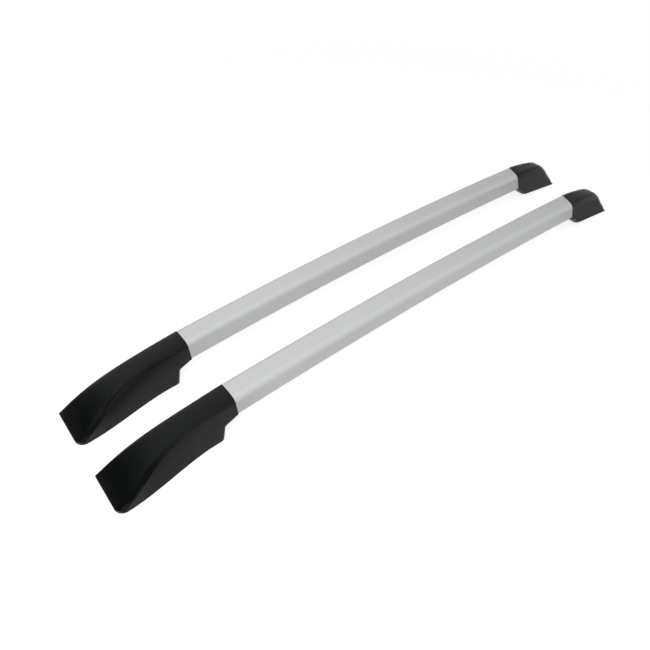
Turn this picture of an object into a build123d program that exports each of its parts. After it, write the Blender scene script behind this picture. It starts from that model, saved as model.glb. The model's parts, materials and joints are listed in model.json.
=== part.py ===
"""Pair of raised roof rails: bowed aluminium bars, each carried on two moulded feet."""
import os
from math import asin, atan, cos, degrees, radians, sin, sqrt, tan

from build123d import *

# The pair, mm: +X runs from the noses to the tails, the floor is Z = 0
RAIL_SPACING = 143.0

# Bar, a bowed hollow extrusion
BAR_SPAN = 832.0
BAR_SIDE = 42.0
BAR_CORNER = 10.0
BAR_WALL = 2.5
BOW = 10.6
JOINT_TOP = 78.0
REAR_RAKE = 22.5
REAR_OVERRUN = 5.0
REAR_STRAIGHT = 14.5

# Moulded covers
COVER_WALL = 2.6
COLLAR_LIP = 0.8
SKIRT_LIFT = 0.8
LEAD = 8.0
FRONT_LENGTH = 211.0
NOSE_HALF = 41.3
NOSE_EDGE = 4.0
NOSE_SLOPE = 0.85
OUTER_NOSE_RADIUS = 15.0
INNER_NOSE_RADIUS = 4.0
NOSE_START = 185.0
NOSE_SPARE = 2.0
FLARE_START = 40.0
FLARE_END = 200.0
RIDGE_SLOPE = 0.10
RIDGE_HALF = 18.2
RIDGE_NOSE_HALF = 38.0
BAND_START = 108.0
BAND_END = 135.0
BAND_DROP = 3.6
BAND_WIDEN = 4.4
RIDGE_ROUND = 1.6
SKIRT_LEAN = 5.0
TOP_CROWN = 3.4
NOTCH_RUN = 20.0
NOTCH_HEIGHT = 28.0
HEEL_RUN = 28.0
REAR_LENGTH = 146.0
REAR_TOE_RUN = 26.0
REAR_TOE_HEIGHT = 16.5
REAR_CREST_RUN = 79.0
REAR_CREST_SAG = 5.0
REAR_CREST_EASE = 6.0
REAR_CREST_CORNER = 17.0
REAR_TAIL_SLOPE = 1.15
REAR_TAIL_CUT = 2.0
NECK_CORNER = 7.0
NOTCH_RADIUS = 6.0
STATION_COUNT = 12

# Shape of the front cover's sections: shares of a wall, of the band's drop and of the crown
RIDGE_INSET_ACROSS = 0.8
RIDGE_INSET_DOWN = 1.1
BAND_LIMIT = 0.6
BAND_FULLNESS = 0.6
BAND_HOLLOW = 0.3
CROWN_FADE = 0.7
CROWN_SHOULDER = 0.8

# Cast brackets and rubber pads
SPIGOT_LENGTH = 60.0
SPIGOT_WALL = 4.0
SPIGOT_PLAY = 0.25
NECK_REACH = 24.0
NECK_STEP = 3.0
PAD_THICKNESS = 3.0
PAD_HALF = 17.5
PAD_CORNER = 6.0
PLATE_THICKNESS = 5.0
PLATE_INSET = 1.5
WEB_THICKNESS = 10.0
WEB_START = 6.0
WEB_KNEE_RUN = 14.4
WEB_KNEE_DROP = 12.0
WEB_CROWN_DROP = 7.5
WEB_HEEL_RUN = 4.8
WEB_RISE = 7.8
FRONT_PAD_END = 184.0
FRONT_PAD_NOSE_HALF = 29.0
REAR_PAD_TAIL = 13.0

# Threaded inserts, bolts of the roof and screws
BOLT_SPACING = 70.0
FRONT_BOLT_RUN = 72.0
REAR_BOLT_RUN = 66.0
INSERT_BORE = 3.4
INSERT_RADIUS = 6.0
INSERT_LENGTH = 14.0
FLANGE_RADIUS = 8.0
FLANGE_THICKNESS = 1.5
BOSS_WALL = 4.0
SCREW_RADIUS = 3.0
SCREW_HEAD = 5.5
SCREW_HEAD_HEIGHT = 3.0
SCREW_LENGTH = 9.0
SCREW_PITCH = 22.0
TAPPER_RADIUS = 2.0
TAPPER_HEAD = 4.0
TAPPER_HEAD_HEIGHT = 2.4
TAPPER_LENGTH = 16.0
POST_RADIUS = 4.5
POST_HALF = 12.0
REAR_POST_RUN = 44.0
THREAD_PLAY = 0.05
HOLE_PLAY = 0.4

# Derived
BOW_RADIUS = (BAR_SPAN ** 2 / 4 + BOW ** 2) / (2 * BOW)
HALF_RADIANS = asin(BAR_SPAN / 2 / BOW_RADIUS)
HALF_ANGLE = degrees(HALF_RADIANS)
BOW_CENTRE = (BAR_SPAN / 2, 0, JOINT_TOP + BOW - BOW_RADIUS)
BOW_AXIS = Axis(BOW_CENTRE, (0, 1, 0))
MID_RADIUS = BOW_RADIUS - BAR_SIDE / 2
END_SLOPE = tan(HALF_RADIANS)
NECK_HALF = BAR_SIDE / 2 + COLLAR_LIP
CROWN_REACH = 7 / 8
REAR_LEAD = 3 * LEAD
COLLAR_CORNER = BAR_CORNER + COLLAR_LIP
BAND_COLLAR = COLLAR_CORNER * sin(atan(1))
RIDGE_START = JOINT_TOP + COLLAR_LIP - COLLAR_CORNER * (1 - sin(atan(1)))
JOINT_LEAN = BAR_SIDE * sin(HALF_RADIANS)
COLLAR_BOTTOM = JOINT_TOP - BAR_SIDE * cos(HALF_RADIANS) - COLLAR_LIP
SEAT_SAG = SCREW_HEAD ** 2 / (2 * BOW_RADIUS - 4 * BAR_SIDE)
TAIL_X = BAR_SPAN + REAR_LENGTH
TOE_X = BAR_SPAN + REAR_TOE_RUN
CANT = atan(REAR_TOE_HEIGHT / (TAIL_X - TOE_X))
BASE_LENGTH = (TAIL_X - TOE_X) / cos(CANT)
TOTAL_LENGTH = FRONT_LENGTH + BAR_SPAN + REAR_LENGTH
FRONT_POST_RUN = FRONT_BOLT_RUN + BOLT_SPACING / 2
FRONT_BOLTS = [FRONT_BOLT_RUN, FRONT_BOLT_RUN + BOLT_SPACING]
REAR_BOLTS = [REAR_BOLT_RUN]
FRONT_PAD_START = HEEL_RUN + 2 * COVER_WALL
PAD_BOTTOM = -SKIRT_LIFT
PLATE_BOTTOM = PAD_THICKNESS - SKIRT_LIFT
FRONT_BASE = Plane(origin=(0, 0, SKIRT_LIFT), x_dir=(-1, 0, 0), z_dir=(0, 0, 1))
REAR_BASE = Plane(origin=(TAIL_X, 0, 0), x_dir=(-cos(CANT), 0, sin(CANT)), z_dir=(sin(CANT), 0, cos(CANT)))


def smooth_step(value, start, end):
    """Share from 0 to 1 with level ends."""
    share = min(max((value - start) / (end - start), 0.0), 1.0)
    return share * share * (3.0 - 2.0 * share)


def bar_plane(angle):
    """Plane square to the bar at an angle along its bow, origin at the section's middle."""
    turned = Plane(origin=(0, 0, 0), x_dir=(0, 1, 0), z_dir=(1, 0, 0))
    place = Location(BOW_CENTRE) * Location((0, 0, 0), (0, angle, 0)) * Location((0, 0, MID_RADIUS))
    return Plane(place * turned.location)


def bar_sweep(section, start, end):
    """A section swept along the bow between two angles."""
    return revolve(bar_plane(start) * section, BOW_AXIS, end - start)


def bar_angle(run):
    """Angle along the bow that a length of bar takes up."""
    return degrees(run / MID_RADIUS)


def square_section(inset):
    """The bar's outline drawn in by an inset, corners kept even with it."""
    side = BAR_SIDE - 2 * inset
    return RectangleRounded(side, side, BAR_CORNER - inset)


def ridge_height(run):
    """Height of the front cover's ridge at a run forward of the joint."""
    share = run / FRONT_LENGTH
    keep = (1 + 2 * share) * (1 - share) ** 2
    leave = share * (1 - share) ** 2 * FRONT_LENGTH
    reach = share ** 2 * (3 - 2 * share)
    arrive = share ** 2 * (share - 1) * FRONT_LENGTH
    return keep * RIDGE_START - leave * RIDGE_SLOPE + reach * NOSE_EDGE - arrive * NOSE_SLOPE


def front_section(run, inset, floor):
    """One upright section: skirt, hollow band and ridge on the outer side, a plain wall inside."""
    plane = Plane(origin=(-run, 0, 0), x_dir=(0, 1, 0), z_dir=(1, 0, 0))
    share = max(run, 0) / FRONT_LENGTH
    flare = NOSE_HALF - NECK_HALF
    hollow = smooth_step(run, FLARE_START / 2, BAND_START) * (1 - smooth_step(run, BAND_END, NOSE_START))
    foot = NECK_HALF + flare * smooth_step(run, FLARE_START, FLARE_END) - inset
    skirt = foot - SKIRT_LEAN * hollow
    wall = NECK_HALF + flare * share ** 2 - inset
    ridge = RIDGE_HALF + (RIDGE_NOSE_HALF - RIDGE_HALF) * share ** 3 - RIDGE_INSET_ACROSS * inset
    top = ridge_height(run) - RIDGE_INSET_DOWN * inset
    arch = top + TOP_CROWN * (1 - CROWN_FADE * smooth_step(run, FLARE_START, NOSE_START)) / CROWN_REACH
    settle = smooth_step(run, 0, FLARE_START)
    widen = BAND_WIDEN * smooth_step(run, BAND_START, NOSE_START)
    limit = BAND_LIMIT * (top - SKIRT_LIFT)
    drop = min(BAND_COLLAR * (1 - settle) + BAND_DROP * settle + widen, limit)
    shelf = Vector(-skirt, top - drop)
    sill = Vector(wall, top - min(BAND_COLLAR, limit))
    crease = Vector(-ridge, top)
    brow = Vector(ridge, top)
    shoulder = Vector(-CROWN_SHOULDER * ridge, arch)
    brink = Vector(CROWN_SHOULDER * ridge, arch)
    full = Vector(-skirt, shelf.Y + BAND_FULLNESS * drop)
    sunk = Vector(BAND_HOLLOW * (ridge - skirt) - ridge, shelf.Y + BAND_HOLLOW * drop)
    pull = full * (1 - hollow) + sunk * hollow
    corner = Vector(wall, top - (arch - top) * (wall - ridge) / (ridge - CROWN_SHOULDER * ridge))
    below = crease + (pull - crease).normalized() * RIDGE_ROUND
    above = crease + (shoulder - crease).normalized() * RIDGE_ROUND

    def toward(start, end):
        return start + (end - start) * BAND_FULLNESS

    runs = [
        (Vector(wall, floor), Vector(-foot, floor)),
        (Vector(-foot, floor), shelf),
        (shelf, toward(shelf, pull), toward(below, pull), below),
        (below, crease, above),
        (above, shoulder, Vector(0, arch), brink, brow),
        (brow, toward(brow, corner), toward(sill, corner), sill),
        (sill, Vector(wall, floor)),
    ]
    return make_face([Bezier(*[plane.from_local_coords((p.X, p.Y, 0)) for p in points]) for points in runs])


def front_body(inset, floor, reach):
    """The front foot's form as a solid down to a floor, from behind the joint to a reach."""
    step = (reach + LEAD) / (STATION_COUNT - 1)
    return loft([front_section(step * k - LEAD, inset, floor) for k in range(STATION_COUNT)])


def side_profile(points):
    """A closed outline in the upright plane along the rail."""
    return make_face(Polyline(*[(x, 0, z) for x, z in points], close=True))


def slab(face, half):
    """A side outline made solid to both sides of the rail's middle."""
    return extrude(Pos(0, -half, 0) * face, amount=2 * half, dir=(0, 1, 0))


def rear_joint():
    """The rear joint's plane, raked in plan and from the side, facing the tail."""
    middle = bar_plane(HALF_ANGLE + bar_angle(REAR_OVERRUN)).origin
    slope = tan(radians(REAR_RAKE))
    return Plane(origin=middle, x_dir=(slope, 1, 0), z_dir=(1, -slope, slope))


def joint_block(plane, sign):
    """Everything near a joint on one side of its plane."""
    return plane * Pos(0, 0, sign * 4 * LEAD) * Box(4 * JOINT_TOP, 4 * JOINT_TOP, 8 * LEAD)


def pin(radius, length, start=0.0):
    """An upright cylinder that starts at a height."""
    return Pos(0, 0, start) * Cylinder(radius, length, align=(Align.CENTER, Align.CENTER, Align.MIN))


def nose_prism():
    """Upright prism that rounds the nose's two corners in plan."""
    near = -NOSE_HALF + OUTER_NOSE_RADIUS
    far = NOSE_HALF - INNER_NOSE_RADIUS
    near_mid = OUTER_NOSE_RADIUS * (1 - cos(atan(1)))
    far_mid = INNER_NOSE_RADIUS * (1 - cos(atan(1)))
    wide = 2 * NOSE_HALF
    edges = [
        ThreePointArc((-FRONT_LENGTH, near), (near_mid - FRONT_LENGTH, near_mid - NOSE_HALF),
                      (OUTER_NOSE_RADIUS - FRONT_LENGTH, -NOSE_HALF)),
        Polyline((OUTER_NOSE_RADIUS - FRONT_LENGTH, -NOSE_HALF), (2 * LEAD, -wide), (2 * LEAD, wide),
                 (INNER_NOSE_RADIUS - FRONT_LENGTH, NOSE_HALF)),
        ThreePointArc((INNER_NOSE_RADIUS - FRONT_LENGTH, NOSE_HALF),
                      (far_mid - FRONT_LENGTH, NOSE_HALF - far_mid), (-FRONT_LENGTH, far)),
        Line((-FRONT_LENGTH, far), (-FRONT_LENGTH, near)),
    ]
    return extrude(make_face(edges), amount=2 * JOINT_TOP)


def neck_cutter(wall):
    """What is cleared away below the front neck, a wall's thickness short of the outside."""
    notch = (-NOTCH_RUN - wall / 2, NOTCH_HEIGHT + wall)
    points = [
        (4 * LEAD, -LEAD),
        (4 * LEAD, COLLAR_BOTTOM + wall),
        (JOINT_LEAN, COLLAR_BOTTOM + wall),
        notch,
        (-HEEL_RUN - wall, -LEAD),
    ]
    face = side_profile(points)
    face = fillet([v for v in face.vertices() if abs(v.X - notch[0]) < 0.1], NOTCH_RADIUS)
    return slab(face, 2 * NOSE_HALF)


def round_neck(solid, low, high, half, top, radius):
    """Rounds a cover's lower long edges over a stretch of its length."""
    chain = [e for e in solid.edges()
             if low < e.center().X < high and 2 * SKIRT_LIFT < e.center().Z < top
             and abs(e.center().Y) > half]
    return fillet(chain, radius)


def posts(base, run, outer):
    """Posts that hang from a cover's roof down to its bracket plate, drilled for tapping screws."""
    floor = PLATE_BOTTOM + PLATE_THICKNESS
    stems = []
    for side in (-1, 1):
        place = base * Pos(run, side * POST_HALF, floor)
        stem = (place * pin(POST_RADIUS, JOINT_TOP)) & outer
        stems.append(stem - place * pin(TAPPER_RADIUS + THREAD_PLAY, TAPPER_LENGTH))
    return stems


def front_form(inset, floor, reach):
    """The front cover's form with its neck cleared below, outside or inside."""
    solid = front_body(inset, floor, reach)
    if inset == 0:
        solid = solid & nose_prism()
    solid = solid - neck_cutter(inset)
    top = COLLAR_BOTTOM + inset + 2
    return round_neck(solid, -HEEL_RUN - inset - 1, LEAD, NECK_HALF - inset - 2, top, NECK_CORNER - inset)


def front_cover():
    """Long moulded foot, open below and at the bar."""
    outer = front_form(0, SKIRT_LIFT, FRONT_LENGTH + NOSE_SPARE) - joint_block(bar_plane(-HALF_ANGLE), 1)
    shell = outer - front_form(COVER_WALL, -LEAD, FRONT_LENGTH - LEAD)
    for post in posts(FRONT_BASE, FRONT_POST_RUN, outer):
        shell = shell + post
    return shell


def rear_height(run, inset):
    """Height of the rear cover's crest line: the bar's line, a soft crest and a sloping tail."""
    sag = REAR_CREST_SAG * (max(run, 0) / REAR_CREST_RUN) ** 2
    level = JOINT_TOP + COLLAR_LIP - END_SLOPE * run - sag - inset
    reach = REAR_LENGTH + REAR_TAIL_CUT - run
    fall = REAR_TAIL_SLOPE * reach - inset * sqrt(1 + REAR_TAIL_SLOPE ** 2)
    return (level + fall) / 2 - sqrt((level - fall) ** 2 / 4 + REAR_CREST_EASE ** 2)


def rear_section(run, inset):
    """One upright section of the rear foot, its upper corners fuller towards the tail."""
    plane = Plane(origin=(BAR_SPAN + run, 0, 0), x_dir=(0, 1, 0), z_dir=(1, 0, 0))
    half = NECK_HALF - inset
    top = rear_height(run, inset)
    round_off = COLLAR_CORNER + (REAR_CREST_CORNER - COLLAR_CORNER) * smooth_step(run, 0, REAR_CREST_RUN)
    across = round_off - inset
    drop = min(across, BAND_LIMIT * max(top, SKIRT_LIFT))
    full = 1 - BAND_FULLNESS
    flat = half - across
    edges = [
        Line((-half, -2 * LEAD), (half, -2 * LEAD)),
        Line((half, -2 * LEAD), (half, top - drop)),
        Bezier((half, top - drop), (half, top - drop * full), (half - across * full, top), (flat, top)),
        Line((flat, top), (-flat, top)),
        Bezier((-flat, top), (across * full - half, top), (-half, top - drop * full), (-half, top - drop)),
        Line((-half, top - drop), (-half, -2 * LEAD)),
    ]
    return plane * make_face(edges)


def rear_form(inset, depth):
    """The rear cover's form over its canted base and slanted chin, outside or inside."""
    half = NECK_HALF - inset
    reach = REAR_LENGTH + REAR_LEAD + NOSE_SPARE
    step = reach / (STATION_COUNT - 1)
    solid = loft([rear_section(step * k - REAR_LEAD, inset) for k in range(STATION_COUNT)])
    toe = Vector(TOE_X, REAR_TOE_HEIGHT)
    chin = Vector(rear_joint().origin.X, COLLAR_BOTTOM)
    down = (toe - chin).normalized()
    shift = Vector(-down.Y, down.X) * inset
    toe = toe + shift + down * (2 * depth)
    chin = chin + shift
    tail = TAIL_X + LEAD
    points = [
        (BAR_SPAN - 2 * REAR_LEAD, 2 * JOINT_TOP),
        (tail, 2 * JOINT_TOP),
        (tail, -LEAD * tan(CANT) - depth),
        (toe.X, toe.Y),
        (chin.X, chin.Y),
        (BAR_SPAN - 2 * REAR_LEAD, COLLAR_BOTTOM + inset),
    ]
    solid = solid & slab(side_profile(points), 2 * half)
    sides = [e for e in solid.edges() if abs(e.center().Y) > half - 1]
    slant = [e for e in sides if chin.X < e.center().X < toe.X and toe.Y < e.center().Z < chin.Y]
    return fillet(slant, NECK_CORNER - inset)


def rear_cover():
    """Short moulded foot, open below and at the bar."""
    over = Pos(BAR_SPAN, 0, COLLAR_BOTTOM) * pin(2 * JOINT_TOP, 2 * JOINT_TOP)
    beyond = Pos(TAIL_X + LEAD, 0, 0) * Box(2 * LEAD, 4 * NECK_HALF, 2 * JOINT_TOP)
    outer = rear_form(0, 0) - (joint_block(rear_joint(), -1) & over) - beyond
    shell = outer - rear_form(COVER_WALL, LEAD)
    for post in posts(REAR_BASE, REAR_POST_RUN, outer):
        shell = shell + post
    return shell


def screw_places(sign):
    """Planes on the bar's underside where its screws go in, looking up into the bar."""
    places = []
    for run in (SPIGOT_LENGTH / 2 - SCREW_PITCH / 2, SPIGOT_LENGTH / 2 + SCREW_PITCH / 2):
        section = bar_plane(sign * (HALF_ANGLE - bar_angle(run)))
        seat = section.from_local_coords((0, -BAR_SIDE / 2 - SEAT_SAG, 0))
        places.append(Plane(origin=seat, x_dir=(0, 1, 0), z_dir=section.y_dir))
    return places


def bar():
    """Bowed hollow extrusion with screw holes through its underside at both ends."""
    section = square_section(0) - square_section(BAR_WALL)
    rear = HALF_ANGLE - bar_angle(REAR_STRAIGHT)
    solid = bar_sweep(section, -HALF_ANGLE, rear)
    reach = REAR_STRAIGHT + REAR_OVERRUN + BAR_SIDE
    solid = solid + extrude(bar_plane(rear) * section, amount=reach, dir=bar_plane(HALF_ANGLE).z_dir)
    solid = solid - joint_block(rear_joint(), 1)
    for sign in (-1, 1):
        for place in screw_places(sign):
            solid = solid - place * pin(SCREW_RADIUS + HOLE_PLAY, 2 * BAR_WALL, -BAR_WALL / 2)
    return solid


def spigot(sign):
    """Plug that fills the bar's end and rests on its inner floor, with its neck into the foot."""
    side = BAR_SIDE - 2 * BAR_WALL - 2 * SPIGOT_PLAY
    section = Pos(0, -SPIGOT_PLAY) * RectangleRounded(side, side, BAR_CORNER - BAR_WALL)
    core_side = side - 2 * SPIGOT_WALL
    core = Pos(0, -SPIGOT_PLAY) * RectangleRounded(core_side, core_side, SPIGOT_WALL)
    deep = sign * (HALF_ANGLE - bar_angle(SPIGOT_LENGTH))
    ends = sorted((deep, sign * HALF_ANGLE))
    plug = bar_sweep(section, *ends) - bar_sweep(core, *ends)
    slim_side = side - 2 * NECK_STEP
    slim = Pos(0, -SPIGOT_PLAY) * RectangleRounded(slim_side, slim_side, BAR_CORNER - BAR_WALL)
    neck = extrude(bar_plane(sign * HALF_ANGLE) * slim, amount=NECK_REACH, dir=(sign, 0, -END_SLOPE))
    return plug + neck


def pad_outline(start, end, start_half, end_half, inset):
    """A foot's footprint on its base, drawn in by an inset."""
    points = [
        (start + inset, inset - start_half),
        (end - inset, inset - end_half),
        (end - inset, end_half - inset),
        (start + inset, start_half - inset),
    ]
    face = make_face(Polyline(*points, close=True))
    return fillet(face.vertices(), PAD_CORNER)


def front_pad(inset):
    """The front foot's footprint."""
    return pad_outline(FRONT_PAD_START, FRONT_PAD_END, PAD_HALF, FRONT_PAD_NOSE_HALF, inset)


def rear_pad(inset):
    """The rear foot's footprint."""
    return pad_outline(REAR_PAD_TAIL, BASE_LENGTH - REAR_PAD_TAIL, PAD_HALF, PAD_HALF, inset)


def at(base, runs, across, height):
    """Places on a foot's base at the given runs, off its middle by a distance."""
    return [base * Pos(run, side * across, height) for run in runs for side in ((-1, 1) if across else (1,))]


def insert_places(base, runs):
    """Where the threaded inserts sit, mouth down on the plate's underside."""
    return at(base, runs, 0, PLATE_BOTTOM)


def tapper_places(base, run):
    """Where the cover's tapping screws go up through the plate."""
    return at(base, [run], POST_HALF, PLATE_BOTTOM)


def gasket(base, outline, bolts, post_run):
    """Rubber pad with holes for the roof bolts and the screw heads."""
    pad = base * Pos(0, 0, PAD_BOTTOM) * extrude(outline, amount=PAD_THICKNESS)
    for place in insert_places(base, bolts):
        pad = pad - place * pin(INSERT_RADIUS, 2 * PAD_THICKNESS, -1.5 * PAD_THICKNESS)
    for place in tapper_places(base, post_run):
        pad = pad - place * pin(TAPPER_HEAD + 2 * HOLE_PLAY, 2 * PAD_THICKNESS, -1.5 * PAD_THICKNESS)
    return pad


def bracket(sign, base, outline, bolts, post_run, web):
    """Cast foot: plate, web and spigot in one, with seats for the inserts and holes for the screws."""
    solid = base * Pos(0, 0, PLATE_BOTTOM) * extrude(outline, amount=PLATE_THICKNESS)
    solid = solid + slab(side_profile(web), WEB_THICKNESS / 2) + spigot(sign)
    for place in insert_places(base, bolts):
        solid = solid + place * pin(INSERT_RADIUS + BOSS_WALL, INSERT_LENGTH + BOSS_WALL)
    for place in insert_places(base, bolts):
        solid = solid - place * pin(INSERT_RADIUS + THREAD_PLAY, INSERT_LENGTH + 1)
        solid = solid - place * pin(FLANGE_RADIUS + HOLE_PLAY, 2 * FLANGE_THICKNESS, -FLANGE_THICKNESS)
    for place in tapper_places(base, post_run):
        solid = solid - place * pin(TAPPER_RADIUS + HOLE_PLAY, 2 * PLATE_THICKNESS, -1)
    for place in screw_places(sign):
        solid = solid - place * pin(SCREW_RADIUS + THREAD_PLAY, SCREW_LENGTH + 1)
    return solid


def web_profile(sign, base, heel, end):
    """Side outline of a bracket's web from the spigot's neck down to its plate."""
    joint = 0 if sign < 0 else BAR_SPAN
    crown = JOINT_TOP - WEB_CROWN_DROP
    floor = COLLAR_BOTTOM + WEB_RISE
    heel_point = base.from_local_coords((heel, 0, PLATE_BOTTOM + PLATE_THICKNESS / 2))
    end_point = base.from_local_coords((end, 0, PLATE_BOTTOM + PLATE_THICKNESS / 2))
    return [
        (joint + sign * WEB_START, crown),
        (joint + sign * NECK_REACH, crown - NECK_REACH * END_SLOPE),
        (joint + sign * (NECK_REACH + WEB_KNEE_RUN), crown - WEB_KNEE_DROP),
        (end_point.X, end_point.Z),
        (heel_point.X, heel_point.Z),
        (joint + sign * (NECK_REACH - WEB_HEEL_RUN), floor),
        (joint + sign * WEB_START, floor),
    ]


def front_bracket():
    """Cast foot in the front cover."""
    web = web_profile(-1, FRONT_BASE, FRONT_PAD_START + 2 * PLATE_INSET, FRONT_BOLT_RUN + BOLT_SPACING)
    return bracket(-1, FRONT_BASE, front_pad(PLATE_INSET), FRONT_BOLTS, FRONT_POST_RUN, web)


def rear_bracket():
    """Cast foot in the rear cover."""
    web = web_profile(1, REAR_BASE, BASE_LENGTH - REAR_PAD_TAIL - 2 * PLATE_INSET, REAR_POST_RUN)
    return bracket(1, REAR_BASE, rear_pad(PLATE_INSET), REAR_BOLTS, REAR_POST_RUN, web)


def inserts(base, bolts):
    """Threaded inserts, flanged at the mouth."""
    one = pin(INSERT_RADIUS, INSERT_LENGTH) + pin(FLANGE_RADIUS, FLANGE_THICKNESS)
    one = one - pin(INSERT_BORE, 2 * INSERT_LENGTH, -INSERT_LENGTH / 2)
    return Compound([place * one for place in insert_places(base, bolts)])


def screws(places, radius, length, head, head_height):
    """Socket screws that go in upwards, each with its head below its seat."""
    one = pin(radius, length) + pin(head, head_height, -head_height)
    socket = extrude(RegularPolygon(head / 2, 6), amount=head_height / 2)
    one = one - Pos(0, 0, -head_height) * socket
    return Compound([place * one for place in places])


def tappers(base, run):
    """The tapping screws of one cover."""
    return screws(tapper_places(base, run), TAPPER_RADIUS, TAPPER_LENGTH, TAPPER_HEAD, TAPPER_HEAD_HEIGHT)


def bar_screws(sign):
    """The screws that lock one end of the bar to its spigot."""
    return screws(screw_places(sign), SCREW_RADIUS, SCREW_LENGTH, SCREW_HEAD, SCREW_HEAD_HEIGHT)


def rail():
    """Every piece of one rail in its place, by name."""
    return {
        "bar": bar(),
        "front_cover": front_cover(),
        "rear_cover": rear_cover(),
        "front_bracket": front_bracket(),
        "rear_bracket": rear_bracket(),
        "front_gasket": gasket(FRONT_BASE, front_pad(0), FRONT_BOLTS, FRONT_POST_RUN),
        "rear_gasket": gasket(REAR_BASE, rear_pad(0), REAR_BOLTS, REAR_POST_RUN),
        "front_inserts": inserts(FRONT_BASE, FRONT_BOLTS),
        "rear_insert": inserts(REAR_BASE, REAR_BOLTS),
        "front_bar_screws": bar_screws(-1),
        "rear_bar_screws": bar_screws(1),
        "front_cover_screws": tappers(FRONT_BASE, FRONT_POST_RUN),
        "rear_cover_screws": tappers(REAR_BASE, REAR_POST_RUN),
    }


def main():
    """Builds one rail and writes it out twice, side by side."""
    os.makedirs("parts", exist_ok=True)
    middle = FRONT_LENGTH - TOTAL_LENGTH / 2
    pieces = rail()
    for side, name in ((-1, "left"), (1, "right")):
        place = Pos(middle, side * RAIL_SPACING / 2, 0)
        for piece, shape in pieces.items():
            export_step(place * shape, f"parts/{name}_{piece}.step")


main()
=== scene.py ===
"""Dresses the pair of raised roof rails: finishes, fine pieces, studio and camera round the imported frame."""
import json
import logging
import math
from dataclasses import dataclass
from enum import Enum
from typing import Any, Callable, Mapping, Optional, Sequence, Union

import bmesh
import bpy
from mathutils import Euler, Matrix, Vector


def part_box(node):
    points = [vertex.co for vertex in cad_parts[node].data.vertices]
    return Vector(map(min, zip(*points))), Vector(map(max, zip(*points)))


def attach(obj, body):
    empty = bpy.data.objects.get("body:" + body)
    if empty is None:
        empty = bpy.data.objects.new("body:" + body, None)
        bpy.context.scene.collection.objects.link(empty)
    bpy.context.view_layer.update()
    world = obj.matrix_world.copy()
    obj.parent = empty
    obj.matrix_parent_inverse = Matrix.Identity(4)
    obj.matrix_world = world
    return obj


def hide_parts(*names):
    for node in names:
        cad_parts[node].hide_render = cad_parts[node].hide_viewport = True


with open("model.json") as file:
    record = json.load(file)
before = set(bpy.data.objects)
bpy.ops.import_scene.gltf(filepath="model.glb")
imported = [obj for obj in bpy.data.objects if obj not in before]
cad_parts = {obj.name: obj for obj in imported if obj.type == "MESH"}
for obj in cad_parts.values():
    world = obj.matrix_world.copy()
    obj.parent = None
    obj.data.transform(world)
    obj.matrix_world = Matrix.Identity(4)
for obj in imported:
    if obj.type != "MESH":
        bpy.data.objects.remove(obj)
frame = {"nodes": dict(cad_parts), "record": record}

LOG = logging.getLogger("roof_rails")
BODY = "root"
MM = 0.001
NEAR = 0.01 * MM
WHITE = (1.0, 1.0, 1.0, 1.0)
SMOOTH_ANGLE = 32.0
RIM_SEGMENTS = 3

# A thread's ridge: its foot as a share of the pitch, its flat top as a share of the foot, how far the foot
# sinks into the metal, the turns that a thread leaves bare and the steps of one turn.
RIDGE_FOOT = 0.86
RIDGE_TOP = 0.2
RIDGE_SINK = 0.05 * MM
BARE_TURNS = 2
TURN_STEPS = 24

Number = Union[float, int]
Colour = tuple[float, float, float]
Triple = tuple[float, float, float]


class Side(Enum):
    """The two rails of the pair."""

    LEFT = "left"
    RIGHT = "right"


class End(Enum):
    """The two ends of a rail."""

    FRONT = "front"
    REAR = "rear"


class Pick(Enum):
    """What a selection in edit mode is made of."""

    EDGES = "edges"
    FACES = "faces"


class Wire:
    """One value in a shader, with operators that add Math nodes."""

    def __init__(self, tree: bpy.types.NodeTree, socket: Optional[bpy.types.NodeSocket]) -> None:
        """Keeps a socket and the tree that it is in.

        Args:
            tree: The node tree.
            socket: The output socket that carries the value, or None for a node that ends a tree.
        """
        self.tree = tree
        self.socket = socket

    def math(self, operation: str, first: "Operand", second: "Operand" = 0.0) -> "Wire":
        """Adds one Math node.

        Args:
            operation: The node's operation.
            first: Its first value or link.
            second: Its second value or link.

        Returns:
            The node's result.
        """
        node = self.tree.nodes.new("ShaderNodeMath")
        node.operation = operation
        for place, operand in enumerate((first, second)):
            if isinstance(operand, Wire):
                self.tree.links.new(operand.socket, node.inputs[place])
            else:
                node.inputs[place].default_value = operand
        return Wire(self.tree, node.outputs[0])

    def __add__(self, other: "Operand") -> "Wire":
        """This value plus another."""
        return self.math("ADD", self, other)

    def __radd__(self, other: Number) -> "Wire":
        """A number plus this value."""
        return self.math("ADD", other, self)

    def __sub__(self, other: "Operand") -> "Wire":
        """This value less another."""
        return self.math("SUBTRACT", self, other)

    def __rsub__(self, other: Number) -> "Wire":
        """A number less this value."""
        return self.math("SUBTRACT", other, self)

    def __mul__(self, other: "Operand") -> "Wire":
        """This value times another."""
        return self.math("MULTIPLY", self, other)

    def __rmul__(self, other: Number) -> "Wire":
        """A number times this value."""
        return self.math("MULTIPLY", other, self)

    def either(self, other: "Operand") -> "Wire":
        """The larger of this value and another."""
        return self.math("MAXIMUM", self, other)


Operand = Union[Wire, float, int]


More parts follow.
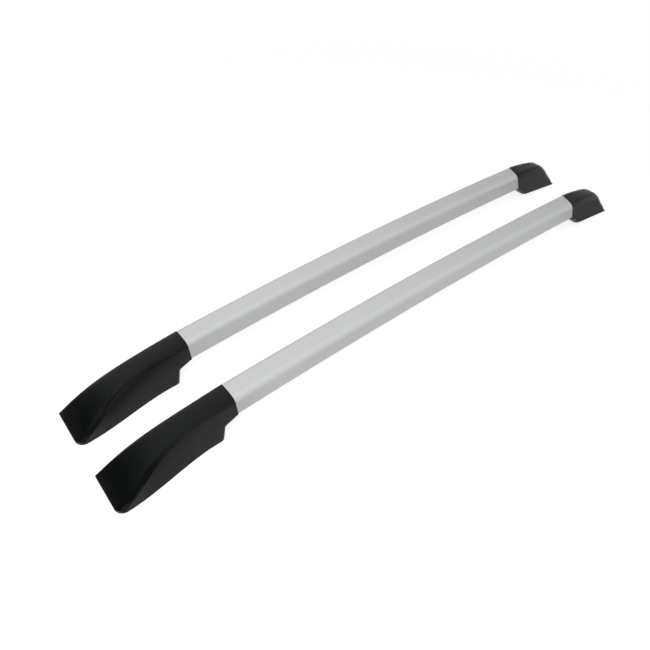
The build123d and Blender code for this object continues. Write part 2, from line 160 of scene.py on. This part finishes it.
class Bench:
    """Builds the nodes of one material or world."""

    # A Mix node's sockets go by number in colour mode, because their names repeat.
    MIX_SHARE = 0
    MIX_LOW = 6
    MIX_HIGH = 7
    MIX_COLOUR = 2

    def __init__(self, tree: bpy.types.NodeTree) -> None:
        """Empties a tree to build in.

        Args:
            tree: The node tree.
        """
        self.tree = tree
        self.tree.nodes.clear()

    def add(self, kind: str, settings: Optional[Mapping[str, Any]] = None,
            inputs: Optional[Mapping[Any, Any]] = None, output: Union[int, str] = 0) -> Wire:
        """Adds a node, sets it up and feeds it.

        Args:
            kind: The node's type.
            settings: Its own settings, set first.
            inputs: Values or links by socket.
            output: The output to hand back.

        Returns:
            The chosen output.
        """
        node = self.tree.nodes.new(kind)
        for name, value in (settings or {}).items():
            setattr(node, name, value)
        for name, value in (inputs or {}).items():
            if isinstance(value, Wire):
                self.tree.links.new(value.socket, node.inputs[name])
            else:
                node.inputs[name].default_value = value
        return Wire(self.tree, node.outputs[output] if len(node.outputs) else None)

    def coordinates(self, scale: Triple = (1.0, 1.0, 1.0)) -> Wire:
        """Object coordinates, stretched by a scale on each axis."""
        place = self.add("ShaderNodeTexCoord", output="Object")
        return self.add("ShaderNodeMapping", inputs={"Vector": place, "Scale": scale})

    def noise(self, place: Wire, scale: float, detail: float = 2.0, roughness: float = 0.5) -> Wire:
        """Soft noise from 0 to 1 at a scale per metre."""
        inputs = {"Vector": place, "Scale": scale, "Detail": detail, "Roughness": roughness}
        return self.add("ShaderNodeTexNoise", inputs=inputs)

    def blend(self, share: Operand, low: Colour, high: Colour) -> Wire:
        """A colour between two by a share."""
        inputs = {self.MIX_SHARE: share, self.MIX_LOW: (*low, 1.0), self.MIX_HIGH: (*high, 1.0)}
        return self.add("ShaderNodeMix", {"data_type": "RGBA"}, inputs, self.MIX_COLOUR)

    def bump(self, height: Wire, distance: float) -> Wire:
        """A normal bumped by a height, the distance in metres."""
        return self.add("ShaderNodeBump", inputs={"Height": height, "Distance": distance, "Strength": 1.0})

    def glow(self, strength: Operand) -> Wire:
        """An even white glow."""
        return self.add("ShaderNodeEmission", inputs={"Color": WHITE, "Strength": strength})

    def surface(self, inputs: Mapping[str, Any]) -> None:
        """Ends a material in a Principled shader with the given sockets."""
        self.end(self.add("ShaderNodeBsdfPrincipled", inputs=inputs))

    def end(self, shader: Wire) -> None:
        """Ends a material in a shader."""
        self.add("ShaderNodeOutputMaterial", inputs={"Surface": shader})


def new_material(name: str) -> tuple[bpy.types.Material, Bench]:
    """Makes a material with no nodes yet.

    Args:
        name: The material's name.

    Returns:
        The material and the bench that builds its nodes.
    """
    made = bpy.data.materials.new(name)
    made.use_nodes = True
    return made, Bench(made.node_tree)


class Finish:
    """A surface finish that makes its own material."""

    slot: str

    def material(self) -> bpy.types.Material:
        """Makes the finish's material.

        Returns:
            The new material, named for its slot.
        """
        made, bench = new_material(f"{self.slot}_finish")
        self.nodes(bench)
        return made

    def nodes(self, bench: Bench) -> None:
        """Builds the finish's nodes."""
        raise NotImplementedError


@dataclass(frozen=True)
class SatinSilver(Finish):
    """Satin anodised aluminium with faint drawing lines along the bar."""

    slot: str = "bar_silver"
    pale: Colour = (0.672, 0.682, 0.680)
    dull: Colour = (0.632, 0.644, 0.642)
    metal: float = 0.4
    gloss_low: float = 0.54
    gloss_swing: float = 0.08
    line_scale: float = 900.0
    line_stretch: float = 0.004
    line_depth: float = 0.004 * MM
    cloud_scale: float = 9.0
    cloud_share: float = 0.65

    def nodes(self, bench: Bench) -> None:
        """Builds the drawn lines, the soft cloudiness and the metal.

        Args:
            bench: Builds the material's nodes.
        """
        along = bench.coordinates((self.line_stretch, 1.0, 1.0))
        lines = bench.noise(along, self.line_scale, detail=3.0)
        cloud = bench.noise(bench.coordinates(), self.cloud_scale, detail=3.0)
        tint = self.cloud_share * cloud + (1.0 - self.cloud_share) * lines
        bench.surface({
            "Base Color": bench.blend(tint, self.dull, self.pale),
            "Metallic": self.metal,
            "Roughness": self.gloss_low + self.gloss_swing * lines,
            "Normal": bench.bump(lines, self.line_depth),
        })


@dataclass(frozen=True)
class GrainedPlastic(Finish):
    """Black moulded plastic with a fine spark-eroded grain."""

    slot: str = "cover_black"
    deep: Colour = (0.0014, 0.0023, 0.0021)
    lit: Colour = (0.0026, 0.0039, 0.0036)
    shine: float = 0.21
    gloss_low: float = 0.33
    gloss_swing: float = 0.08
    grain_scale: float = 1500.0
    grain_depth: float = 0.035 * MM
    patch_scale: float = 24.0
    patch_share: float = 0.5

    def nodes(self, bench: Bench) -> None:
        """Builds the grain, its soft patches and the plastic.

        Args:
            bench: Builds the material's nodes.
        """
        place = bench.coordinates()
        grain = bench.noise(place, self.grain_scale, detail=3.0, roughness=0.6)
        patches = bench.noise(place, self.patch_scale, detail=4.0)
        tint = (1.0 - self.patch_share) * grain + self.patch_share * patches
        bench.surface({
            "Base Color": bench.blend(tint, self.deep, self.lit),
            "Roughness": self.gloss_low + self.gloss_swing * patches,
            "Specular IOR Level": self.shine,
            "Normal": bench.bump(grain, self.grain_depth),
        })


@dataclass(frozen=True)
class CastAlloy(Finish):
    """Aluminium as it leaves the die, grey and slightly pitted."""

    slot: str = "bracket_cast"
    pale: Colour = (0.46, 0.46, 0.45)
    dull: Colour = (0.33, 0.33, 0.33)
    pit_scale: float = 700.0
    pit_depth: float = 0.06 * MM
    flow_scale: float = 40.0
    metal: float = 0.9
    gloss_low: float = 0.46
    gloss_swing: float = 0.16

    def nodes(self, bench: Bench) -> None:
        """Builds the cast skin.

        Args:
            bench: Builds the material's nodes.
        """
        place = bench.coordinates()
        pits = bench.noise(place, self.pit_scale, detail=4.0, roughness=0.65)
        flow = bench.noise(place, self.flow_scale, detail=4.0)
        bench.surface({
            "Base Color": bench.blend(flow, self.dull, self.pale),
            "Metallic": self.metal,
            "Roughness": self.gloss_low + self.gloss_swing * flow,
            "Normal": bench.bump(pits, self.pit_depth),
        })


@dataclass(frozen=True)
class PadRubber(Finish):
    """Matt black rubber with a little bloom."""

    slot: str = "gasket_rubber"
    deep: Colour = (0.010, 0.010, 0.010)
    bloom: Colour = (0.024, 0.024, 0.023)
    shine: float = 0.3
    gloss_low: float = 0.72
    gloss_swing: float = 0.14
    cloud_scale: float = 60.0
    skin_scale: float = 2200.0
    skin_depth: float = 0.03 * MM

    def nodes(self, bench: Bench) -> None:
        """Builds the rubber.

        Args:
            bench: Builds the material's nodes.
        """
        place = bench.coordinates()
        cloud = bench.noise(place, self.cloud_scale, detail=5.0)
        skin = bench.noise(place, self.skin_scale)
        bench.surface({
            "Base Color": bench.blend(cloud, self.deep, self.bloom),
            "Roughness": self.gloss_low + self.gloss_swing * cloud,
            "Specular IOR Level": self.shine,
            "Normal": bench.bump(skin, self.skin_depth),
        })


@dataclass(frozen=True)
class PlatedSteel(Finish):
    """Plated steel, a little cloudy, with fine marks."""

    slot: str = "screw_steel"
    pale: Colour = (0.56, 0.56, 0.55)
    dull: Colour = (0.42, 0.42, 0.41)
    gloss_low: float = 0.28
    gloss_swing: float = 0.14
    cloud_scale: float = 300.0
    mark_scale: float = 4000.0
    mark_depth: float = 0.006 * MM

    def nodes(self, bench: Bench) -> None:
        """Builds the plating.

        Args:
            bench: Builds the material's nodes.
        """
        place = bench.coordinates()
        cloud = bench.noise(place, self.cloud_scale, detail=4.0)
        marks = bench.noise(place, self.mark_scale)
        bench.surface({
            "Base Color": bench.blend(cloud, self.dull, self.pale),
            "Metallic": 1.0,
            "Roughness": self.gloss_low + self.gloss_swing * marks,
            "Normal": bench.bump(marks, self.mark_depth),
        })


FINISHES: tuple[Finish, ...] = (
    SatinSilver(),
    GrainedPlastic(),
    CastAlloy(),
    PadRubber(),
    PlatedSteel("insert_steel", pale=(0.55, 0.52, 0.44), dull=(0.42, 0.39, 0.32), gloss_low=0.32),
    PlatedSteel(),
    PlatedSteel("tapper_steel", pale=(0.060, 0.060, 0.062), dull=(0.030, 0.030, 0.032), gloss_low=0.34),
)


class Wardrobe:
    """Puts each record slot's finish on the nodes and pieces that use it."""

    def __init__(self, finishes: Sequence[Finish]) -> None:
        """Makes every finish's material once.

        Args:
            finishes: One finish for each record slot.
        """
        self.materials = {finish.slot: finish.material() for finish in finishes}

    def dress_nodes(self, record: Mapping[str, Any], nodes: Mapping[str, bpy.types.Object]) -> None:
        """Dresses every node of the frame.

        Args:
            record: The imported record, which names each node's slot.
            nodes: The frame's objects by node name.
        """
        for subpart in record["subparts"]:
            self.dress(nodes[subpart["node"]], subpart["material_slot"])
            LOG.info("dressed %s in %s", subpart["node"], subpart["material_slot"])

    def dress(self, piece: bpy.types.Object, slot: str) -> None:
        """Gives one object a slot's material."""
        piece.data.materials.clear()
        piece.data.materials.append(self.materials[slot])

    def put_in(self, piece: bpy.types.Object, slot: str, node: str) -> None:
        """Dresses a new piece and puts it in for its plain node.

        Args:
            piece: The finished piece.
            slot: The record's slot for its finish.
            node: The node that it stands for.
        """
        self.dress(piece, slot)
        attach(piece, BODY)
        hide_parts(node)
        LOG.info("modelled %s, %d faces", piece.name, len(piece.data.polygons))


@dataclass(frozen=True)
class Seat:
    """Where a fastener stands: the foot of its axis and the way that it points."""

    foot: Vector
    axis: Vector

    @classmethod
    def of_group(cls, points: Sequence[Vector], axis: Vector) -> "Seat":
        """Finds the seat of one turned piece from its points.

        Args:
            points: The piece's points.
            axis: The way that it points.

        Returns:
            The seat, its foot at the piece's lowest end.
        """
        across = axis.orthogonal().normalized()
        beside = axis.cross(across)
        foot = axis * min(point.dot(axis) for point in points)
        for way in (across, beside):
            places = [point.dot(way) for point in points]
            foot = foot + way * ((min(places) + max(places)) / 2)
        return cls(foot, axis)


class Workbench:
    """Hand tools for new pieces, each used on what it picks itself."""

    @staticmethod
    def blank(radius: float, low: float, high: float, facets: int = 48) -> bpy.types.Object:
        """Adds a round blank on the Z axis.

        Args:
            radius: The blank's radius.
            low: Height of its lower end.
            high: Height of its upper end.
            facets: Sides of its outline.

        Returns:
            The new object.
        """
        bpy.ops.object.select_all(action="DESELECT")
        bpy.ops.mesh.primitive_cylinder_add(
            vertices=facets, radius=radius, depth=high - low, location=(0.0, 0.0, (low + high) / 2))
        bpy.ops.object.transform_apply(location=True, rotation=True, scale=True)
        return bpy.context.object

    @staticmethod
    def open(piece: bpy.types.Object) -> None:
        """Opens a piece alone in edit mode.

        Args:
            piece: The piece.
        """
        bpy.ops.object.select_all(action="DESELECT")
        bpy.context.view_layer.objects.active = piece
        piece.select_set(True)
        bpy.ops.object.mode_set(mode="EDIT")

    @staticmethod
    def close() -> None:
        """Goes back to object mode."""
        bpy.ops.object.mode_set(mode="OBJECT")

    @staticmethod
    def pick(piece: bpy.types.Object, kind: Pick, test: Callable[[Vector], bool]) -> None:
        """Selects in edit mode the edges or faces whose middle passes a test.

        Args:
            piece: The piece that is open.
            kind: Edges or faces.
            test: Says of a middle whether it is wanted.
        """
        faces = kind is Pick.FACES
        bpy.context.tool_settings.mesh_select_mode = (False, not faces, faces)
        bpy.ops.mesh.select_all(action="DESELECT")
        mesh = bmesh.from_edit_mesh(piece.data)
        for part in mesh.faces if faces else mesh.edges:
            corners = [corner.co for corner in part.verts]
            part.select_set(test(sum(corners, Vector()) / len(corners)))
        bmesh.update_edit_mesh(piece.data)

    def pick_end(self, piece: bpy.types.Object, height: float) -> None:
        """Selects the end face on the axis at a height.

        Args:
            piece: The piece that is open.
            height: The face's height.
        """
        self.pick(piece, Pick.FACES, lambda middle: abs(middle.z - height) < NEAR
                  and middle.xy.length < NEAR)

    def ease_rim(self, piece: bpy.types.Object, radius: float, height: float, width: float) -> None:
        """Rounds the ring of edges at a radius and a height.

        Args:
            piece: The piece that is open.
            radius: The ring's radius.
            height: The ring's height.
            width: Width of the rounding.
        """
        # The middle of a ring's edge lies a little inside the ring.
        inside = 0.02 * radius
        self.pick(piece, Pick.EDGES, lambda middle: abs(middle.z - height) < NEAR
                  and abs(middle.xy.length - radius) < inside)
        bpy.ops.mesh.bevel(offset=width, segments=RIM_SEGMENTS, affect="EDGES")

    def step(self, piece: bpy.types.Object, height: float, inset: float, rise: float) -> None:
        """Draws a narrower stem out of an end face.

        Args:
            piece: The piece that is open.
            height: The end face's height.
            inset: How far the stem stands in from the rim.
            rise: The stem's length.
        """
        self.pick_end(piece, height)
        bpy.ops.mesh.inset(thickness=inset)
        bpy.ops.mesh.extrude_region_move(TRANSFORM_OT_translate={"value": (0.0, 0.0, rise)})

    def helix(self, root: float, crest: float, pitch: float, low: float, turns: int) -> bpy.types.Object:
        """Winds a thread's ridge round the Z axis.

        Args:
            root: Radius of the ridge's foot.
            crest: Radius of its flat top.
            pitch: Rise of one turn.
            low: Height where it starts.
            turns: Number of turns.

        Returns:
            The closed ridge as a new object.
        """
        height = abs(crest - root)
        bpy.ops.object.select_all(action="DESELECT")
        bpy.ops.mesh.primitive_plane_add(
            size=1.0, location=((root + crest) / 2, 0.0, low), rotation=(math.pi / 2, 0.0, 0.0))
        ridge = bpy.context.object
        ridge.scale = (height, RIDGE_FOOT * pitch, 1.0)
        bpy.ops.object.transform_apply(location=True, rotation=True, scale=True)
        self.open(ridge)
        self.pick(ridge, Pick.EDGES, lambda middle: abs(middle.x - crest) < height / 4)
        bpy.ops.transform.resize(value=(1.0, 1.0, RIDGE_TOP), center_override=(crest, 0.0, low))
        bpy.ops.mesh.select_all(action="SELECT")
        bpy.ops.mesh.delete(type="ONLY_FACE")
        self.close()
        screw = ridge.modifiers.new("turns", "SCREW")
        screw.axis = "Z"
        screw.screw_offset = pitch
        screw.iterations = turns
        screw.steps = TURN_STEPS
        screw.render_steps = TURN_STEPS
        bpy.ops.object.modifier_apply(modifier=screw.name)
        self.open(ridge)
        bpy.ops.mesh.select_all(action="SELECT")
        bpy.ops.mesh.remove_doubles(threshold=NEAR / 10)
        bpy.ops.mesh.fill_holes(sides=6)
        bpy.ops.mesh.select_all(action="SELECT")
        bpy.ops.mesh.normals_make_consistent(inside=False)
        self.close()
        return ridge

    @staticmethod
    def cut(piece: bpy.types.Object, cutter: bpy.types.Object) -> None:
        """Cuts one piece's form out of another and takes the cutter away.

        Args:
            piece: The piece that gets the hole.
            cutter: The piece with the hole's form.
        """
        hole = piece.modifiers.new("hole", "BOOLEAN")
        hole.object = cutter
        bpy.context.view_layer.objects.active = piece
        bpy.ops.object.modifier_apply(modifier=hole.name)
        bpy.data.objects.remove(cutter)

    @staticmethod
    def join(pieces: Sequence[bpy.types.Object], name: str) -> bpy.types.Object:
        """Joins pieces into the first one under a name.

        Args:
            pieces: The pieces.
            name: The joined piece's name.

        Returns:
            The first piece, with the others in it.
        """
        bpy.ops.object.select_all(action="DESELECT")
        for piece in pieces:
            piece.select_set(True)
        bpy.context.view_layer.objects.active = pieces[0]
        if len(pieces) > 1:
            bpy.ops.object.join()
        pieces[0].name = name
        bpy.ops.object.shade_smooth_by_angle(angle=math.radians(SMOOTH_ANGLE))
        return pieces[0]

    def set_out(self, pattern: bpy.types.Object, seats: Sequence[Seat], name: str) -> bpy.types.Object:
        """Copies a pattern to its seats as one piece and takes the pattern away.

        Args:
            pattern: The piece modelled on the Z axis, its lowest end at height 0.
            seats: Where the copies go.
            name: The piece's name.

        Returns:
            The finished piece.
        """
        copies = []
        for seat in seats:
            copy = bpy.data.objects.new(name, pattern.data.copy())
            bpy.context.scene.collection.objects.link(copy)
            copy.data.transform(seat.axis.to_track_quat("Z", "Y").to_matrix().to_4x4())
            copy.data.transform(Matrix.Translation(seat.foot))
            copies.append(copy)
        bpy.data.objects.remove(pattern)
        return self.join(copies, name)


@dataclass
class FastenerSet:
    """Fasteners of one kind at one end of a rail, modelled in place of their plain node."""

    bench: Workbench
    wardrobe: Wardrobe
    node: str
    slot: str
    seats: Sequence[Seat]

    def pattern(self) -> bpy.types.Object:
        """Models one fastener on the Z axis, its lowest end at height 0."""
        raise NotImplementedError

    def build(self) -> bpy.types.Object:
        """Models the fasteners, dresses them and puts them in for their node.

        Returns:
            The finished piece.
        """
        piece = self.bench.set_out(self.pattern(), self.seats, f"{self.node}_turned")
        self.wardrobe.put_in(piece, self.slot, self.node)
        return piece


@dataclass
class SocketScrews(FastenerSet):
    """Socket screws with eased heads, hexagon sockets and wound threads.

    The eases are shares of the head's height and of the thread's depth, and the tip's gap is in pitches.
    """

    radius: float = 3.0 * MM
    length: float = 9.0 * MM
    head: float = 5.5 * MM
    head_height: float = 3.0 * MM
    pitch: float = 1.0 * MM
    depth: float = 0.55 * MM
    head_ease: float = 0.14
    tip_ease: float = 0.5
    tip_gap: float = 0.7

    def pattern(self) -> bpy.types.Object:
        """Models one screw, its head at the bottom.

        Returns:
            The screw on the Z axis.
        """
        core = self.radius - self.depth
        screw = self.bench.blank(self.head, 0.0, self.head_height)
        self.bench.open(screw)
        self.bench.step(screw, self.head_height, self.head - core, self.length)
        self.bench.ease_rim(screw, self.head, 0.0, self.head_ease * self.head_height)
        self.bench.ease_rim(screw, core, self.head_height + self.length, self.tip_ease * self.depth)
        self.bench.close()
        hexagon = self.bench.blank(self.head / 2, -self.head_height, self.head_height / 2, facets=6)
        self.bench.cut(screw, hexagon)
        turns = int(self.length / self.pitch) - BARE_TURNS
        low = self.head_height + self.length - (turns + self.tip_gap) * self.pitch
        ridge = self.bench.helix(core - RIDGE_SINK, self.radius, self.pitch, low, turns)
        return self.bench.join([screw, ridge], "socket_screw")


@dataclass
class TappingScrews(SocketScrews):
    """Slimmer, longer screws with a coarser thread, which hold the covers."""

    radius: float = 2.0 * MM
    length: float = 16.0 * MM
    head: float = 4.0 * MM
    head_height: float = 2.4 * MM
    pitch: float = 1.4 * MM


@dataclass
class ThreadedInserts(FastenerSet):
    """Flanged inserts with an eased mouth and a wound inner thread.

    The eases are shares of the thread's depth and of the flange, and the first turn's place is in pitches.
    """

    radius: float = 6.0 * MM
    length: float = 14.0 * MM
    flange: float = 8.0 * MM
    flange_thickness: float = 1.5 * MM
    bore: float = 3.4 * MM
    pitch: float = 1.25 * MM
    depth: float = 0.6 * MM
    mouth_ease: float = 0.4
    flange_ease: float = 0.2
    first_turn: float = 1.2

    def pattern(self) -> bpy.types.Object:
        """Models one insert, its flanged mouth at the bottom.

        Returns:
            The insert on the Z axis.
        """
        wide = self.bore + self.depth
        insert = self.bench.blank(self.flange, 0.0, self.flange_thickness, facets=64)
        self.bench.open(insert)
        self.bench.step(insert, self.flange_thickness, self.flange - self.radius,
                        self.length - self.flange_thickness)
        for height, outer in ((0.0, self.flange), (self.length, self.radius)):
            self.bench.pick_end(insert, height)
            bpy.ops.mesh.inset(thickness=outer - wide)
        self.bench.pick(insert, Pick.FACES, lambda middle: middle.xy.length < NEAR)
        bpy.ops.mesh.bridge_edge_loops()
        self.bench.ease_rim(insert, wide, 0.0, self.mouth_ease * self.depth)
        self.bench.ease_rim(insert, self.flange, 0.0, self.flange_ease * self.flange_thickness)
        self.bench.close()
        turns = int(self.length / self.pitch) - BARE_TURNS
        low = self.first_turn * self.pitch
        ridge = self.bench.helix(wide + RIDGE_SINK, self.bore, self.pitch, low, turns)
        return self.bench.join([insert, ridge], "threaded_insert")


@dataclass
class RubberPad:
    """The pad under one foot, its moulded edges eased."""

    bench: Workbench
    wardrobe: Wardrobe
    node: str
    slot: str = "gasket_rubber"
    ease: float = 0.6 * MM
    weld: float = 0.005 * MM
    flat_angle: float = 1.0
    edge_angle: float = 50.0

    def build(self, plain: bpy.types.Object) -> bpy.types.Object:
        """Eases a copy of the plain pad and puts it in for its node.

        Args:
            plain: The node's object.

        Returns:
            The finished piece.
        """
        piece = bpy.data.objects.new(f"{self.node}_eased", plain.data.copy())
        bpy.context.scene.collection.objects.link(piece)
        self.bench.open(piece)
        bpy.ops.mesh.customdata_custom_splitnormals_clear()
        bpy.ops.mesh.select_all(action="SELECT")
        bpy.ops.mesh.remove_doubles(threshold=self.weld)
        bpy.ops.mesh.dissolve_limited(angle_limit=math.radians(self.flat_angle))
        self.bench.close()
        round_edge = piece.modifiers.new("eased_edge", "BEVEL")
        round_edge.width = self.ease
        round_edge.segments = RIM_SEGMENTS
        round_edge.limit_method = "ANGLE"
        round_edge.angle_limit = math.radians(self.edge_angle)
        bpy.ops.object.modifier_apply(modifier=round_edge.name)
        self.bench.join([piece], piece.name)
        self.wardrobe.put_in(piece, self.slot, self.node)
        return piece


@dataclass
class Rail:
    """One rail of the pair and the fine pieces on it."""

    side: Side
    bench: Workbench
    wardrobe: Wardrobe
    bar_span: float = 832.0 * MM
    bow: float = 10.6 * MM
    joint_top: float = 78.0 * MM

    def node(self, end: End, piece: str) -> str:
        """Name of a piece's node."""
        return f"{self.side.value}_{end.value}_{piece}"

    def foot_axis(self, end: End) -> Vector:
        """The way up through a foot, square to its base."""
        base = next(mount for mount in frame["record"]["mounts"] if mount["name"] == self.node(end, "base"))
        return -Vector(base["axis"]).normalized()

    def bow_axis(self, middle: Vector) -> Vector:
        """The way up through the bar at a place on it.

        Args:
            middle: The place.

        Returns:
            The way out from the middle of the bar's bow.
        """
        radius = (self.bar_span ** 2 / 4 + self.bow ** 2) / (2 * self.bow)
        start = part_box(f"{self.side.value}_bar")[0][0]
        centre = Vector((start + self.bar_span / 2, middle.y, self.joint_top + self.bow - radius))
        return (middle - centre).normalized()

    def seats(self, node: str, count: int, axis_at: Callable[[Vector], Vector]) -> list[Seat]:
        """Finds the seats of a node's fasteners.

        Args:
            node: The node's name.
            count: How many fasteners it holds, one or two.
            axis_at: Gives the axis at a fastener's middle.

        Returns:
            One seat for each fastener.
        """
        points = [vertex.co.copy() for vertex in frame["nodes"][node].data.vertices]
        low, high = (Vector(corner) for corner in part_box(node))
        way = 0 if high.x - low.x > high.y - low.y else 1
        middle = (low[way] + high[way]) / 2
        groups = [points] if count == 1 else [
            [point for point in points if point[way] < middle],
            [point for point in points if point[way] > middle],
        ]
        return [Seat.of_group(group, axis_at(sum(group, Vector()) / len(group))) for group in groups]

    def build_end(self, end: End) -> None:
        """Models the fasteners and the pad at one end.

        Args:
            end: The end.
        """
        upright = self.foot_axis(end)
        bolts, inserts = (2, "inserts") if end is End.FRONT else (1, "insert")
        for kind, piece, slot, count, axis_at in (
            (SocketScrews, "bar_screws", "screw_steel", 2, self.bow_axis),
            (TappingScrews, "cover_screws", "tapper_steel", 2, lambda middle: upright),
            (ThreadedInserts, inserts, "insert_steel", bolts, lambda middle: upright),
        ):
            node = self.node(end, piece)
            kind(self.bench, self.wardrobe, node, slot, self.seats(node, count, axis_at)).build()
        gasket = self.node(end, "gasket")
        RubberPad(self.bench, self.wardrobe, gasket).build(frame["nodes"][gasket])

    def build(self) -> None:
        """Models the fine pieces at both ends."""
        for end in End:
            self.build_end(end)


@dataclass(frozen=True)
class DarkFlag:
    """A card that only reflections see, its tone from 0, black, to 1, white."""

    name: str
    place: Triple
    size: tuple[float, float]
    tone: float = 0.0
    turn: float = 0.0
    aim: Optional[Triple] = None

    def build(self) -> None:
        """Stands the card facing its aim, or lays it on the floor with its turn in degrees."""
        facing = Euler((0.0, 0.0, math.radians(self.turn)))
        if self.aim:
            facing = (Vector(self.aim) - Vector(self.place)).to_track_quat("Z", "Y").to_euler()
        bpy.ops.object.select_all(action="DESELECT")
        bpy.ops.mesh.primitive_plane_add(size=1.0, location=self.place, rotation=facing)
        card = bpy.context.object
        card.name = self.name
        card.scale = (*self.size, 1.0)
        made, bench = new_material(self.name)
        bench.end(bench.glow(self.tone))
        card.data.materials.append(made)
        card.visible_camera = False
        card.visible_diffuse = False
        card.visible_shadow = False


@dataclass
class Studio:
    """White floor, one softbox, the cards and the camera of the product picture."""

    floor_size: float = 16.0
    floor_drop: float = 0.2 * MM
    floor_colour: Colour = (0.32, 0.32, 0.32)
    floor_glow: float = 0.84
    fade_start: float = 0.7
    fade_end: float = 1.6
    ambient: float = 0.28
    flags: tuple[DarkFlag, ...] = (
        DarkFlag("nose_flag", (-1.35, 0.5, 0.3), (1.1, 0.9), aim=(-0.55, 0.0, 0.02)),
        DarkFlag("nose_floor_flag", (-1.18, 0.4, 0.004), (1.1, 1.1)),
        DarkFlag("near_side_flag", (-0.49, -0.142, 0.002), (0.34, 0.11), tone=0.82),
        DarkFlag("near_ridge_flag", (-0.49, -0.159, 0.003), (0.28, 0.030), turn=-6.5),
        DarkFlag("far_ridge_flag", (-0.49, -0.009, 0.003), (0.26, 0.030), turn=-6.5),
        DarkFlag("lens_flag", (-0.787, -0.244, 0.24), (0.63, 0.36), aim=(-0.545, -0.05, 0.04)),
        DarkFlag("rear_top_flag", (1.45, 0.49, 0.65), (1.7, 0.9), tone=0.46, aim=(0.52, 0.0, 0.08)),
        DarkFlag("near_tail_flag", (0.6, -0.138, 0.002), (0.22, 0.10), tone=0.45),
        DarkFlag("far_tail_flag", (0.6, 0.005, 0.002), (0.22, 0.10), tone=0.68),
    )
    key_place: Triple = (-0.9, -0.7, 1.5)
    key_size: float = 1.6
    key_power: float = 28.0
    camera_place: Triple = (-616.2 * MM, -604.5 * MM, 777.0 * MM)
    camera_yaw: float = 51.94
    camera_pitch: float = 44.89
    focal_pixels: float = 599.5
    image_pixels: float = 650.0
    sensor: float = 36.0
    clip_start: float = 0.01

    def background_rays(self, bench: Bench) -> Wire:
        """Tells the rays that should see the white background from those that carry light.

        Args:
            bench: Builds the nodes.

        Returns:
            1 for the rays that see it, and 0 for the others.
        """
        seen = bench.add("ShaderNodeLightPath", output="Is Camera Ray")
        for name in ("Is Glossy Ray", "Is Transmission Ray"):
            seen = seen.either(bench.add("ShaderNodeLightPath", output=name))
        return seen

    def build_world(self) -> None:
        """White to look at, and a soft even light on everything."""
        world = bpy.data.worlds.new("studio_world")
        world.use_nodes = True
        bpy.context.scene.world = world
        bench = Bench(world.node_tree)
        strength = self.ambient + (1.0 - self.ambient) * self.background_rays(bench)
        sky = bench.add("ShaderNodeBackground", inputs={"Color": WHITE, "Strength": strength})
        bench.add("ShaderNodeOutputWorld", inputs={"Surface": sky})

    def build_floor(self) -> None:
        """A wide pale floor that shows white and keeps the shadow."""
        bpy.ops.object.select_all(action="DESELECT")
        bpy.ops.mesh.primitive_plane_add(size=self.floor_size, location=(0.0, 0.0, -self.floor_drop))
        floor = bpy.context.object
        floor.name = "studio_floor"
        made, bench = new_material("studio_floor")
        matt = bench.add("ShaderNodeBsdfDiffuse", inputs={"Color": (*self.floor_colour, 1.0)})
        glow = bench.glow(self.floor_glow * self.background_rays(bench))
        both = bench.add("ShaderNodeAddShader", inputs={0: matt, 1: glow})
        reach = bench.add("ShaderNodeVectorMath", {"operation": "LENGTH"}, {0: bench.coordinates()}, "Value")
        far = bench.add("ShaderNodeMapRange", {"interpolation_type": "SMOOTHSTEP"}, {
            "Value": reach, "From Min": self.fade_start, "From Max": self.fade_end})
        faded = bench.add("ShaderNodeMixShader", inputs={
            0: far * self.background_rays(bench), 1: both, 2: bench.glow(1.0)})
        clear = bench.add("ShaderNodeBsdfTransparent")
        below = bench.add("ShaderNodeNewGeometry", output="Backfacing")
        bench.end(bench.add("ShaderNodeMixShader", inputs={0: below, 1: faded, 2: clear}))
        floor.data.materials.append(made)

    def build_lamps(self) -> None:
        """One large softbox over the near front corner, kept out of reflections."""
        data = bpy.data.lights.new("key_softbox", "AREA")
        data.shape = "SQUARE"
        data.size = self.key_size
        data.energy = self.key_power
        lamp = bpy.data.objects.new("key_softbox", data)
        lamp.location = self.key_place
        lamp.rotation_euler = (-Vector(self.key_place)).to_track_quat("-Z", "Y").to_euler()
        lamp.visible_glossy = False
        bpy.context.scene.collection.objects.link(lamp)

    def build_camera(self) -> None:
        """The camera where the picture was taken from."""
        yaw = math.radians(self.camera_yaw)
        pitch = math.radians(self.camera_pitch)
        ahead = Vector((math.cos(yaw) * math.cos(pitch), math.sin(yaw) * math.cos(pitch), -math.sin(pitch)))
        data = bpy.data.cameras.new("camera")
        data.sensor_width = self.sensor
        data.lens = self.sensor * self.focal_pixels / self.image_pixels
        data.clip_start = self.clip_start
        camera = bpy.data.objects.new("camera", data)
        camera.location = self.camera_place
        camera.rotation_euler = ahead.to_track_quat("-Z", "Y").to_euler()
        bpy.context.scene.collection.objects.link(camera)
        bpy.context.scene.camera = camera

    def build(self) -> None:
        """Builds the whole studio."""
        bpy.context.scene.view_settings.view_transform = "Standard"
        self.build_world()
        self.build_floor()
        self.build_lamps()
        for flag in self.flags:
            flag.build()
        self.build_camera()
        LOG.info("built the studio")


def main() -> None:
    """Dresses the frame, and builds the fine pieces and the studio."""
    logging.basicConfig(level=logging.INFO, format="%(name)s: %(message)s")
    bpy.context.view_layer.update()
    wardrobe = Wardrobe(FINISHES)
    wardrobe.dress_nodes(frame["record"], frame["nodes"])
    bench = Workbench()
    for side in Side:
        Rail(side, bench, wardrobe).build()
    Studio().build()


if __name__ == "__main__":
    main()
